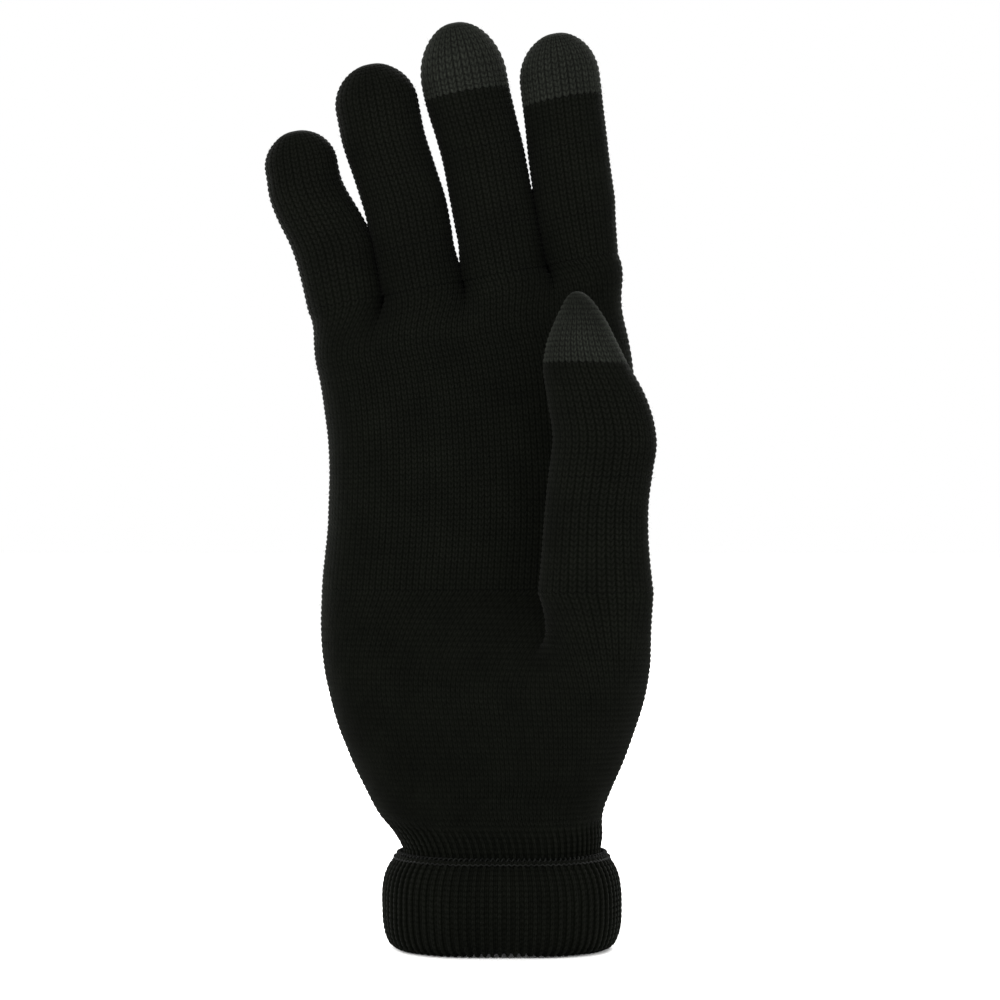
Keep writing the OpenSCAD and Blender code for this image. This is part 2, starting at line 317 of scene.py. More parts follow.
def finish_tree(tree, geometry, material):
    """End a tree by making its instances real and giving the result its material."""
    realized = add(tree, "GeometryNodeRealizeInstances", {"Geometry": geometry})[0]
    painted = add(tree, "GeometryNodeSetMaterial", {"Geometry": realized, "Material": material})[0]
    add(tree, "NodeGroupOutput", {"Geometry": painted})


def stitch_tree():
    """Turn a smooth sleeve into stitches: each wale gets two slanting legs, and ribbing gets
    every other wale laid back. Loose fibre ends are then set over the outer face."""
    tree, given = new_tree("knitted stitches", {
        "Relief": "Float", "Slant": "Float", "Rib Depth": "Float", "Unevenness": "Float",
        "Fibres": "Float", "Fibre Length": "Float", "Seed": "Int", "Yarn": "Material"})
    read = {
        name: add(tree, "GeometryNodeInputNamedAttribute", {"Name": name}, data_type=kind)[0]
        for name, kind in (
            ("wale", "FLOAT"), ("course", "FLOAT"), ("knit", "FLOAT"), ("rib", "FLOAT"),
            ("facing", "FLOAT_VECTOR"), ("along", "FLOAT_VECTOR"))
    }
    # The legs stand up at a quarter and three quarters of a wale
    turn = maths(tree, "MULTIPLY", read["wale"], math.tau)
    leg = maths(tree, "ABSOLUTE", maths(tree, "SINE", turn))
    middle = ranged(tree, maths(tree, "COSINE", turn), 1.0, -1.0, 0.0, 0.32)
    ridge = maths(tree, "MAXIMUM", leg, middle)
    # A course dips where one stitch comes up through the next
    dip = maths(tree, "COSINE", maths(tree, "MULTIPLY", read["course"], math.tau))
    crown = maths(tree, "MULTIPLY", ridge, ranged(tree, dip, -0.5, 1.0, 1.0, 0.3))
    # In ribbing the knit wales stand up and the purl wales lie back
    half_turn = maths(tree, "MULTIPLY_ADD", read["wale"], math.pi, -math.pi / 2)
    laid_back = ranged(tree, maths(tree, "COSINE", half_turn), 1.0, -0.7)
    ribbed = maths(tree, "MULTIPLY", read["rib"], laid_back)
    shown = maths(tree, "SUBTRACT", 1.0, ribbed, use_clamp=True)
    knit = maths(tree, "MULTIPLY", read["knit"], shown)
    # Uneven tension: slow wandering of the fabric and quick changes from stitch to stitch
    place = add(tree, "GeometryNodeInputPosition")[0]
    slow, quick = [
        add(tree, "ShaderNodeTexNoise", {
            "Vector": place, "W": given["Seed"], "Scale": scale, "Detail": 1.0},
            noise_dimensions="4D")[0]
        for scale in (55.0, 420.0)]
    tension = ranged(tree, quick, 0.25, 0.75, 0.65, 1.2)
    wander = ranged(tree, slow, 0.2, 0.8, -0.6, 0.6)
    # Outward moves, with the crowns at the sleeve's own surface
    sunk = maths(tree, "SUBTRACT", crown, 1.0)
    tight = maths(tree, "MULTIPLY", sunk, tension)
    relief = maths(tree, "MULTIPLY", tight, given["Relief"])
    stitch = maths(tree, "MULTIPLY", relief, knit)
    drift = maths(tree, "MULTIPLY", wander, given["Unevenness"])
    steady = maths(tree, "MULTIPLY", drift, read["knit"])
    rib_out = maths(tree, "MULTIPLY", ribbed, given["Rib Depth"])
    outward = maths(tree, "SUBTRACT", maths(tree, "ADD", stitch, steady), rib_out)
    # Moves along the wale: the legs rise from the middle of the stitch to its sides
    across = maths(tree, "FRACT", read["wale"])
    side = maths(tree, "ABSOLUTE", maths(tree, "MULTIPLY_ADD", across, 2.0, -1.0))
    climb = maths(tree, "MULTIPLY", maths(tree, "MULTIPLY", side, given["Slant"]), knit)
    offset = add(tree, "ShaderNodeVectorMath", {
        0: scaled(tree, read["facing"], outward), 1: scaled(tree, read["along"], climb)},
        operation="ADD")[0]
    moved = add(tree, "GeometryNodeSetPosition", {
        "Geometry": given["Geometry"], "Offset": offset})[0]
    # The crowns' height is kept for the material, which paints shade into the gaps from it
    stitched = add(tree, "GeometryNodeStoreNamedAttribute", {
        "Geometry": moved, "Name": "crown", "Value": crown}, data_type="FLOAT", domain="POINT")[0]
    # Loose fibre ends lie nearly flat, in every direction
    points = add(tree, "GeometryNodeDistributePointsOnFaces", {
        "Mesh": stitched, "Selection": add(tree, "FunctionNodeCompare", {
            0: knit, 1: 0.6}, data_type="FLOAT", operation="GREATER_THAN")[0],
        "Density": given["Fibres"], "Seed": given["Seed"]})
    lie = add(tree, "FunctionNodeRandomValue", {
        0: (0.2, -0.2, 0.0), 1: (1.35, 0.2, math.tau), "Seed": given["Seed"]},
        data_type="FLOAT_VECTOR")[0]
    tilted = add(tree, "FunctionNodeRotateRotation", {
        "Rotation": points["Rotation"], "Rotate By": add(tree, "FunctionNodeEulerToRotation", {
            "Euler": lie})[0]}, rotation_space="LOCAL")[0]
    spike = add(tree, "GeometryNodeMeshCone", {
        "Vertices": 3, "Radius Top": 0.0, "Radius Bottom": 0.000028,
        "Depth": given["Fibre Length"]})[0]
    lengths = add(tree, "FunctionNodeRandomValue", {
        2: 0.4, 3: 1.3, "Seed": given["Seed"]}, data_type="FLOAT")[1]
    hairs = add(tree, "GeometryNodeInstanceOnPoints", {
        "Points": points[0], "Instance": spike, "Rotation": tilted,
        "Scale": add(tree, "ShaderNodeCombineXYZ", {0: 1.0, 1: 1.0, 2: lengths})[0]})[0]
    real_hairs = add(tree, "GeometryNodeRealizeInstances", {"Geometry": hairs})[0]
    # The fibre ends get the crowns' full height, so the painted shade of the gaps does not fall on
    # them
    unshaded_hairs = add(tree, "GeometryNodeStoreNamedAttribute", {
        "Geometry": real_hairs, "Name": "crown", "Value": 1.0},
        data_type="FLOAT", domain="POINT")[0]
    joined = add(tree, "GeometryNodeJoinGeometry", {0: stitched})[0]
    tree.links.new(unshaded_hairs, joined.node.inputs[0])
    finish_tree(tree, joined, given["Yarn"])
    return tree


def thread_tree():
    """Lay a round thread along a line of points."""
    tree, given = new_tree("laid thread", {"Radius": "Float", "Sides": "Int", "Yarn": "Material"})
    line = add(tree, "GeometryNodeMeshToCurve", {"Mesh": given["Geometry"]})[0]
    ring = add(tree, "GeometryNodeCurvePrimitiveCircle", {
        "Resolution": given["Sides"], "Radius": given["Radius"]})[0]
    tube = add(tree, "GeometryNodeCurveToMesh", {"Curve": line, "Profile Curve": ring})[0]
    smooth_tube = add(tree, "GeometryNodeSetShadeSmooth", {"Geometry": tube})[0]
    finish_tree(tree, smooth_tube, given["Yarn"])
    return tree


def worked(piece, tree, **values):
    """Run a geometry tree on a piece with these inputs, and keep the result as a plain mesh."""
    modifier = piece.modifiers.new(tree.name, "NODES")
    modifier.node_group = tree
    for item in tree.interface.items_tree:
        if item.in_out == "INPUT" and item.name in values:
            modifier[item.identifier] = values[item.name]
    graph = bpy.context.evaluated_depsgraph_get()
    mesh = bpy.data.meshes.new_from_object(
        piece.evaluated_get(graph), preserve_all_data_layers=True, depsgraph=graph)
    piece.modifiers.remove(modifier)
    piece.data = mesh
    mesh.name = piece.name
    return piece


# ---- Materials

def new_material(name):
    """A material with an empty tree, and the Object coordinates that its patterns lie on."""
    made = bpy.data.materials.new(name)
    made.use_nodes = True
    tree = made.node_tree
    tree.nodes.clear()
    return made, tree, add(tree, "ShaderNodeTexCoord")["Object"]


def knit_material(name, yarn, gaps, heather, sheen):
    """Soft-spun yarn in machine-knitted stitches, brushed once. The crowns keep the yarn's own
    colour, the gaps are darkened by a painted shade, and loose fibres blur both. A yarn's fibres
    are about 0.02 mm thick, too fine to show, so their bump is drawn 0.25 mm wide."""
    made, tree, place = new_material(name)
    crown = add(tree, "ShaderNodeAttribute", attribute_name="crown")["Fac"]
    # Painted shade: the colour darkens from the yarn's own on the crowns to the gaps' colour as
    # the stitch sinks
    height = ranged(tree, crown, 0.1, 0.9)
    blend = add(tree, "ShaderNodeMix", {
        "Factor": height, "A": (*gaps, 1), "B": (*yarn, 1)}, data_type="RGBA")["Result"]
    # Clumps of fibre every 0.5 mm or so, and slow patches of shade
    clumps = noise(tree, place, 1900.0, Detail=2.0, Roughness=0.6)
    patches = noise(tree, place, 90.0, Detail=2.0)
    fine = ranged(tree, clumps, 0.3, 0.7, 1 - heather, 1 + heather)
    slow = ranged(tree, patches, 0.3, 0.7, 0.85, 1.15)
    colour = scaled(tree, blend, maths(tree, "MULTIPLY", fine, slow))
    fibres = noise(tree, place, 4000.0, Detail=1.0)
    bump = add(tree, "ShaderNodeBump", {
        "Height": fibres, "Strength": 0.5, "Distance": 0.00012})[0]
    surface = add(tree, "ShaderNodeBsdfPrincipled", {
        "Base Color": colour, "Normal": bump, "Roughness": 0.92, "Specular IOR Level": 0.03,
        "Sheen Weight": sheen, "Sheen Roughness": 0.4, "Sheen Tint": (0.8, 0.82, 0.78, 1)})[0]
    add(tree, "ShaderNodeOutputMaterial", {"Surface": surface})
    return made


def thread_material(name, colour, twist, roughness, specular):
    """Smooth thread. Its plies turn once in twist metres, which gives it fine slanting lines."""
    made, tree, place = new_material(name)
    plies = add(tree, "ShaderNodeTexWave", {
        "Vector": place, "Scale": 1 / twist / 20, "Distortion": 2.0, "Detail": 1.0},
        bands_direction="DIAGONAL")[1]
    shade = scaled(tree, tuple(colour), ranged(tree, plies, low=0.65, high=1.15))
    bump = add(tree, "ShaderNodeBump", {"Height": plies, "Strength": 0.5, "Distance": 0.0001})[0]
    surface = add(tree, "ShaderNodeBsdfPrincipled", {
        "Base Color": shade, "Normal": bump, "Roughness": roughness,
        "Specular IOR Level": specular})[0]
    add(tree, "ShaderNodeOutputMaterial", {"Surface": surface})
    return made


def floor_material(colour):
    """Matt painted board with a faint roller texture. It glows very faintly, so that its far edge
    is lost against the white room."""
    made, tree, place = new_material("matt_painted_board_rolled")
    roller = noise(tree, place, 700.0, Detail=2.0)
    shade = scaled(tree, tuple(colour), ranged(tree, roller, low=0.985))
    surface = add(tree, "ShaderNodeBsdfPrincipled", {
        "Base Color": shade, "Roughness": 0.9, "Emission Color": (1, 1, 1, 1),
        "Emission Strength": 0.03})[0]
    add(tree, "ShaderNodeOutputMaterial", {"Surface": surface})
    return made


def material(kind):
    """The glove's materials, each made once and named for its yarn and how it was worked."""
    colours = bpy.context.scene.glove_colours
    made = {
        "black": ("brushed_acrylic_knit_black", lambda name: knit_material(
            name, colours.black_yarn, colours.black_gap_shade, 0.3, 0.015)),
        "touch": ("conductive_blend_knit_charcoal", lambda name: knit_material(
            name, colours.touch_yarn, colours.touch_gap_shade, 0.4, 0.02)),
        "overlock": ("spun_polyester_overlock_thread", lambda name: thread_material(
            name, colours.overlock, 0.0009, 0.8, 0.1)),
        "elastic": ("covered_rubber_thread_laid_in", lambda name: thread_material(
            name, colours.elastic, 0.0006, 0.55, 0.4)),
    }
    name, make = made[kind]
    return bpy.data.materials.get(name) or make(name)


# ---- Outlines and courses

def smooth(at, table):
    """Read the smooth curve through a table's rows at a height; the first column is height."""
    knots, values = table[:, 0], table[:, 1:]
    slopes = np.gradient(values, knots, axis=0)
    i = int(np.clip(np.searchsorted(knots, at) - 1, 0, len(knots) - 2))
    span = knots[i + 1] - knots[i]
    t = (at - knots[i]) / span
    return ((1 + 2 * t) * (1 - t) ** 2 * values[i] + t * (1 - t) ** 2 * span * slopes[i]
            + t * t * (3 - 2 * t) * values[i + 1] - t * t * (1 - t) * span * slopes[i + 1])


def ease(value, start, end):
    """0 before start, 1 after end and smooth between them."""
    t = np.clip((value - start) / (end - start), 0, 1)
    return t * t * (3 - 2 * t)


def outline(lobes, shares):
    """Points of the smooth line drawn round some ellipses, at shares of its length counted
    anticlockwise from its far left."""
    angles = math.pi + np.linspace(0, math.tau, OUTLINE_POINTS)
    x, y, rx, ry = np.array(lobes, float).T[:, :, None]
    cosine, sine = np.cos(angles), np.sin(angles)
    size = np.hypot(rx * cosine, ry * sine)
    reach = x * cosine + y * sine + size
    weight = np.exp((reach - reach.max(0)) * LOBE_BLEND)
    weight /= weight.sum(0)
    line = np.stack([
        (weight * (x + rx ** 2 * cosine / size)).sum(0),
        (weight * (y + ry ** 2 * sine / size)).sum(0)], -1)
    length = np.concatenate([[0], np.cumsum(np.hypot(*np.diff(line, axis=0).T))])
    at = (shares % 1) * length[-1]
    return np.stack([np.interp(at, length, line[:, 0]), np.interp(at, length, line[:, 1])], -1)


def placed(flat, lean, height):
    """Stand a flat line of points at a height along an axis that leans by so many degrees."""
    t = math.radians(lean)
    x, y = flat[:, 0], flat[:, 1]
    return np.stack([
        x * math.cos(t) - height * math.sin(t), y,
        x * math.sin(t) + height * math.cos(t)], -1)


def wales(count):
    """Wales passed at each point of a course of so many wales."""
    return np.arange(count * COLUMNS) / COLUMNS


def hand_lobes(row):
    """The two round sides of a row of the hand's table."""
    _, left, right, front, back = row
    radius, middle = (back - front) / 2, (back + front) / 2
    return [[left + radius, middle, radius, radius], [right - radius, middle, radius, radius]]


def stall_oval(name, h):
    """Centre, half width and half depth of a finger stall at height h above its crotch. Its tip
    closes to a short line of bound-off stitches that runs across it."""
    centre, base, full, tip, drift, start, end, depth, cap, _ = STALLS[name]
    length = getattr(bpy.context.scene.glove_sizes, name + "_length") / MM
    swell = min(1, h / SWELL)
    past = min(1, max(0, h - (length - cap)) / cap)
    share = math.sqrt(1 - past * past)
    half = base + (full - base) * swell + (tip - full) * ease(h, TAPER * length, length - cap)
    return (
        centre + drift * ease(h, start, end),
        math.hypot(half * share, CLOSING_LINE * past ** 3),
        (BASE_DEPTH + (depth - BASE_DEPTH) * swell) * share)


def stall_outline(name, h):
    """One course line of a finger stall, pressed against its neighbours low down."""
    x, rx, ry = stall_oval(name, h)
    half = STALLS[name][-1]
    angles = wales(2 * half) * math.pi / half
    across = x + rx * np.cos(angles)
    for right, left, height, parting in NEIGHBOURS:
        if name in (right, left):
            side = 1 if name == left else -1
            (xr, rr, _), (xl, rl, _) = stall_oval(right, h), stall_oval(left, h)
            gap = (xr - rr) - (xl + rl)
            near = np.clip(np.cos(angles) * side, 0, 1) ** 6
            pressed = gap / 2 + PRESS * ease(h, 0, PRESS_HEIGHT)
            across += side * pressed * near * (1 - ease(h, height, height + parting))
    return np.stack([across, FINGER_Y + ry * np.sin(angles)], -1)


def stall_line(name, h):
    return placed(stall_outline(name, h), LEAN, CROTCH + h)


def near_crotch(count, spread, height):
    """How near a course's points are to the thumb crotch, where its first wale lies."""
    away = wales(count)
    away = np.minimum(away, count - away)
    fade = math.exp(-((height - THUMB_CROTCH) / CROTCH_FADE) ** 2)
    return np.exp(-(away / spread) ** 2) * fade


def around_the_stalls(values):
    """Join four stalls' courses into one course of the palm, which starts at the thumb crotch."""
    back = [values[n][:len(values[n]) // 2] for n in ("index", "middle", "ring", "pinky")]
    front = [values[n][len(values[n]) // 2:] for n in ("pinky", "ring", "middle", "index")]
    return np.roll(np.concatenate(back + front), INDEX_EDGE * COLUMNS, axis=0)


def hand_line(height):
    """One course line of the hand above the thumb crotch. It dips between the fingers near
    their crotches, and it touches the thumb at the thumb's own crotch."""
    row = smooth(height, HAND)
    flat = outline(hand_lobes(row), (wales(HAND_WALES) - PINKY_EDGE) / HAND_WALES)
    parted = max(0, (height - CROTCH + WEB) / WEB) ** 2.2
    if parted:
        flat += (around_the_stalls({n: stall_outline(n, 0) for n in STALLS}) - flat) * parted
    flat[:, 1] -= CROTCH_DIP * near_crotch(HAND_WALES, 3, height)
    return placed(flat, row[0], height)


def thumb_line(height):
    """One course line of the thumb stall, which starts at the side that faces the palm."""
    x, y, rx, ry = smooth(min(height, THUMB[-1, 0]), THUMB)
    past = max(0, (height - THUMB[-1, 0]) / (THUMB_TIP[0] - THUMB[-1, 0]))
    x += (THUMB_TIP[1] - x) * past
    rx, ry = np.array([rx, ry]) * math.sqrt(max(0, 1 - past))
    angles = math.pi / 2 + wales(THUMB_WALES) * math.tau / THUMB_WALES
    flat = np.stack([x + rx * np.cos(angles), y + ry * np.sin(angles)], -1)
    near = near_crotch(THUMB_WALES, 2.5, height)
    flat += (hand_meeting() - flat[0]) * near[:, None]
    return placed(flat, 0, height)


def hand_meeting():
    """Where the hand's course touches the thumb's at the thumb crotch."""
    row = smooth(THUMB_CROTCH, HAND)
    flat = outline(hand_lobes(row), (wales(1)[:1] - PINKY_EDGE) / HAND_WALES)
    return flat[0] - [0, CROTCH_DIP]


def lower_line(height):
    """One course line of the wrist or the lower palm. Near the thumb crotch it parts into the
    hand's course and the thumb's."""
    steps = (wales(ALL_WALES) - PINKY_EDGE) % ALL_WALES
    fanned = np.interp(steps, *FAN.T)
    fan = ease(height, WRIST_TOP, FAN_TOP)
    row = smooth(height, HAND)
    lobes = hand_lobes(row)
    if height > WRIST_TOP:
        lobes.append(list(smooth(height, THENAR)))
    line = placed(outline(lobes, steps / ALL_WALES * (1 - fan) + fanned * fan), 0, height)
    parted = max(0, (height - THUMB_PARTS) / (THUMB_CROTCH - THUMB_PARTS)) ** 1.8
    if parted:
        both = np.concatenate([hand_line(THUMB_CROTCH), thumb_line(THUMB_CROTCH)])
        line[:, :2] += (both - line)[:, :2] * parted
    return line


def courses(start, end):
    """Heights of the rows of points from start to end, with a whole number of courses."""
    count = max(1, round((end - start) * MM / bpy.context.scene.glove_stitches.course))
    return np.linspace(start, end, count * ROWS + 1)


def rows_of(line, heights):
    """A grid of points: one row for each height, drawn by a course line's function."""
    return np.array([line(h) for h in heights])


def directions(grid):
    """Outward direction and one course's step up the fabric, at each point of a grid."""
    across = np.roll(grid, -1, axis=1) - np.roll(grid, 1, axis=1)
    up = np.gradient(grid, axis=0)
    facing = np.cross(across, up)
    size = np.linalg.norm(facing, axis=2, keepdims=True)
    return facing / np.maximum(size, 1e-9), up * ROWS


# ---- Making a piece

def plain_mesh(name, points, faces=(), edges=()):
    """A mesh object from points in millimetres, linked into the scene."""
    mesh = bpy.data.meshes.new(name)
    mesh.from_pydata([tuple(p) for p in np.asarray(points) * MM], edges, faces)
    piece = bpy.data.objects.new(name, mesh)
    bpy.context.scene.collection.objects.link(piece)
    return piece


def knitted(name, grid, yarn="black", tip=None, knit=1.0, rib=0.0, inside=None, top=None,
            inner_rib=False, slant=1.0, first_course=0):
    """Knit a sleeve, or a closed end with a tip, from a grid of points: one row of the grid for
    each row of points and one column for each column of points. top gives the directions of the
    pieces that carry on above, so that the edges meet stitch to stitch."""
    rows, columns = shape = grid.shape[:2]
    stitches = bpy.context.scene.glove_stitches
    facing, along = directions(grid)
    if top:
        facing[-1], along[-1] = top
    if tip is not None:
        facing[-1], along[-1] = tip, 0
        inner_rows = list(range(0, rows, 2 * ROWS))
    else:
        inner_rows = list(range(0, rows - 1, 6 * ROWS))
    if rows - 1 not in inner_rows:
        inner_rows.append(rows - 1)
    if inside is None:
        inside = grid[inner_rows] - facing[inner_rows] * (stitches.fabric / MM)
        inside_facing = -facing[inner_rows]
    else:
        inside_facing = -facing[:1].repeat(len(inside), 0)
    inner = len(inside)
    points = np.concatenate([grid.reshape(-1, 3), inside.reshape(-1, 3)])
    base = rows * columns
    c = np.arange(columns)
    d = (c + 1) % columns
    quads = []
    for r in range(rows - 1):
        a = r * columns
        quads.append(np.stack([a + c, a + d, a + columns + d, a + columns + c], -1))
    for r in range(inner - 1):
        a = base + r * columns
        quads.append(np.stack([a + d, a + c, a + columns + c, a + columns + d], -1))
    quads.append(np.stack([d, c, base + c, base + d], -1))
    if tip is None:
        a, b = (rows - 1) * columns, base + (inner - 1) * columns
        quads.append(np.stack([a + c, a + d, b + d, b + c], -1))
    piece = plain_mesh(name, points, np.concatenate(quads).tolist())
    level = first_course + np.arange(rows) / ROWS
    share, ribs = np.zeros(len(points)), np.zeros(len(points))
    share[:base] = np.broadcast_to(np.reshape(knit, (-1, 1)), shape).ravel()
    ribs[:base] = np.broadcast_to(np.reshape(rib, (-1, 1)), shape).ravel()
    if inner_rib:
        ribs[base:] = INNER_RIB
    floats = {
        "wale": np.concatenate([
            np.tile(c / COLUMNS, rows), np.tile(c / COLUMNS + 1, inner)]),
        "course": np.concatenate([level.repeat(columns), np.zeros(inner * columns)]),
        "knit": share,
        "rib": ribs,
    }
    for key, values in floats.items():
        attribute = piece.data.attributes.new(key, "FLOAT", "POINT")
        attribute.data.foreach_set("value", values.astype(np.float32))
    vectors = {
        "facing": (facing, inside_facing),
        "along": (along * MM, np.zeros_like(inside_facing)),
    }
    for key, (outer, inner_values) in vectors.items():
        values = np.concatenate([outer.reshape(-1, 3), inner_values.reshape(-1, 3)])
        attribute = piece.data.attributes.new(key, "FLOAT_VECTOR", "POINT")
        attribute.data.foreach_set("vector", values.astype(np.float32).ravel())
    tree = bpy.data.node_groups.get("knitted stitches") or stitch_tree()
    worked(piece, tree, **{
        "Relief": stitches.relief, "Slant": stitches.slant * slant,
        "Rib Depth": stitches.rib_depth, "Unevenness": stitches.unevenness,
        "Fibres": stitches.fibres, "Fibre Length": stitches.fibre_length,
        "Seed": stitches.seed, "Yarn": material(yarn)})
    finish_knit(piece, rows, columns, inner, tip is not None)
    return piece


def finish_knit(piece, rows, columns, inner, closed):
    """Smooth the fabric but keep its rims crisp, and sew a closed tip shut."""
    mesh = piece.data
    for key in ("facing", "along", "knit", "rib"):
        if key in mesh.attributes:
            mesh.attributes.remove(mesh.attributes[key])
    mesh.shade_smooth()
    rim = np.zeros(len(mesh.vertices), int)
    base, total = rows * columns, (rows + inner) * columns
    rim[:columns] = 1
    rim[base:base + columns] = 2
    if not closed:
        rim[base - columns:base] = 3
        rim[total - columns:total] = 4
    ends = np.empty(len(mesh.edges) * 2, int)
    mesh.edges.foreach_get("vertices", ends)
    ends = rim[ends.reshape(-1, 2)]
    sharp = mesh.attributes.get("sharp_edge") or mesh.attributes.new(
        "sharp_edge", "BOOLEAN", "EDGE")
    sharp.data.foreach_set("value", (ends[:, 0] == ends[:, 1]) & (ends[:, 0] > 0))
    if closed:
        shape = bmesh.new()
        shape.from_mesh(mesh)
        shape.verts.ensure_lookup_table()
        outer_tip = [shape.verts[i] for i in range(base - columns, base)]
        inner_tip = [shape.verts[i] for i in range(total - columns, total)]
        bmesh.ops.remove_doubles(shape, verts=outer_tip, dist=1e-5)
        bmesh.ops.remove_doubles(shape, verts=inner_tip, dist=1e-5)
        shape.to_mesh(mesh)
        shape.free()


def first_directions(line, start):
    """Directions of a sleeve at its lowest course."""
    heights = courses(start, start + 2 * bpy.context.scene.glove_stitches.course / MM)[:3]
    facing, along = directions(rows_of(line, heights))
    return facing[0], along[0]


def laid_thread(name, rounds, diameter, sides, yarn, slot):
    """Thread laid along closed lines, each of as many points as the others."""
    count = len(rounds[0])
    edges = [
        (k * count + i, k * count + (i + 1) % count)
        for k in range(len(rounds)) for i in range(count)]
    piece = plain_mesh(name, np.concatenate(rounds), edges=edges)
    tree = bpy.data.node_groups.get("laid thread") or thread_tree()
    worked(piece, tree, Radius=diameter / 2, Sides=sides, Yarn=material(yarn))
    return piece


def wrist_ring(height, out, shares):
    """A line round the wrist at a height, so far outside the outline at the cuff's level."""
    row = smooth(CUFF_LEVEL, HAND)
    lobes = [[x, y, rx + out, ry + out] for x, y, rx, ry in hand_lobes(row)]
    return placed(outline(lobes, shares), 0, height)


# ---- Operators

class GLOVE_OT_wrist(Operator):
    """Knit the ribbed wrist"""
    bl_idname = "glove.wrist"
    bl_label = "Ribbed wrist"

    def execute(self, context):
        heights = np.concatenate([WRIST_HIDDEN, courses(WRIST_SHOWN, WRIST_TOP)])
        piece = knitted(
            "ribbed_wrist", rows_of(lower_line, heights),
            knit=ease(heights, KNIT_FROM, KNIT_FULL), rib=1 - ease(heights, RIB_FADE, WRIST_TOP),
            inner_rib=True, top=first_directions(lower_line, WRIST_TOP),
            first_course=-len(WRIST_HIDDEN) / ROWS)
        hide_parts("wrist_rib")
        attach(piece, "hand")
        return {"FINISHED"}


class GLOVE_OT_cuff(Operator):
    """Turn the cuff up round the wrist"""
    bl_idname = "glove.cuff"
    bl_label = "Turned-up cuff"

    def execute(self, context):
        steps = np.hypot(*np.diff(CUFF, axis=0).T)
        length = np.concatenate([[0], np.cumsum(steps)])
        table = np.column_stack([length, CUFF])
        shares = (wales(ALL_WALES) - PINKY_EDGE) / ALL_WALES
        at = courses(0, length[-1])
        path = np.array([smooth(s, table) for s in at])
        grid = np.array([wrist_ring(z, out, shares) for z, out in path])
        inside = np.array([wrist_ring(z, out, shares) for z, out in CUFF_INSIDE])
        end = ease(at, length[-1] - CUFF_FADE, length[-1])
        piece = knitted(
            "turned_up_cuff", grid, rib=1 - end, knit=1 - 0.5 * end, inside=inside,
            slant=-1.0)
        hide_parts("cuff_turnup")
        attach(piece, "hand")
        return {"FINISHED"}


class GLOVE_OT_hem(Operator):
    """Overlock the cuff's free edge"""
    bl_idname = "glove.hem"
    bl_label = "Overlocked hem"

    def execute(self, context):
        threads = context.scene.glove_threads
        turns = threads.overlock_stitches
        laid = (threads.overlock_diameter, 6, "overlock", "overlock_thread")
        half_width, half_height, needle_rise = 0.55, 0.4, 0.2
        wrap_points, needle_points = 12, 6  # points to each stitch
        height, out = HEM_EDGE
        t = np.arange(turns * wrap_points) / wrap_points
        angle = t * math.tau
        ring = wrist_ring(height, out, t / turns - 0.5)
        outward = wrist_ring(height, out + 1, t / turns - 0.5) - ring
        wrap = ring + outward * (half_width * np.cos(angle))[:, None]
        wrap[:, 2] += half_height * np.sin(angle)
        wraps = laid_thread("overlock_wraps", [wrap], *laid)
        t = np.arange(turns * needle_points) / needle_points
        line = wrist_ring(*HEM_LINE, t / turns - 0.5)
        line[:, 2] += needle_rise * np.sin(t * math.tau)
        chain = laid_thread("overlock_needle_line", [line], *laid)
        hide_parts("cuff_hem_overlock")
        for piece in (wraps, chain):
            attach(piece, "hand")
        return {"FINISHED"}


class GLOVE_OT_elastic(Operator):
    """Lay the rounds of elastic thread inside the wrist"""
    bl_idname = "glove.elastic"
    bl_label = "Elastic thread"

    def execute(self, context):
        threads = context.scene.glove_threads
        ribs = ALL_WALES // 2
        t = np.arange(ribs * 4) / (ribs * 4)
        depth, weave = 2.3, 0.2  # under the wrist's outer face, and in and out over each rib
        rounds = []
        for i in range(1, threads.elastic_rounds + 1):
            height = ELASTIC_TOP * i / (threads.elastic_rounds + 0.5)
            out = smooth(height, HAND)[2] - smooth(CUFF_LEVEL, HAND)[2]
            line = wrist_ring(height, out - depth, t)
            inner = wrist_ring(height, out - (depth + weave), t)
            line += (inner - line) * np.cos(t * math.tau * ribs)[:, None]
            rounds.append(line)
        piece = laid_thread(
            "elastic_rounds", rounds, threads.elastic_diameter, 8, "elastic", "elastic_thread")
        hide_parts("wrist_elastic_threads")
        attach(piece, "hand")
        return {"FINISHED"}


class GLOVE_OT_palm(Operator):
    """Knit the five-finger and four-finger sections of the hand"""
    bl_idname = "glove.palm"
    bl_label = "Palm"

    def execute(self, context):
        hand = first_directions(hand_line, THUMB_CROTCH)
        thumb = first_directions(thumb_line, THUMB_CROTCH)
        lower = knitted(
            "five_finger_section", rows_of(lower_line, courses(WRIST_TOP, THUMB_CROTCH)),
            top=[np.concatenate(pair) for pair in zip(hand, thumb)])
        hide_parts("palm_lower")
        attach(lower, "hand")
        stalls = {n: first_directions(partial(stall_line, n), 0) for n in STALLS}
        upper = knitted(
            "four_finger_section", rows_of(hand_line, courses(THUMB_CROTCH, CROTCH)),
            top=[around_the_stalls({n: v[i] for n, v in stalls.items()}) for i in (0, 1)])
        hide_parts("palm_upper")
        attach(upper, "hand")
        return {"FINISHED"}


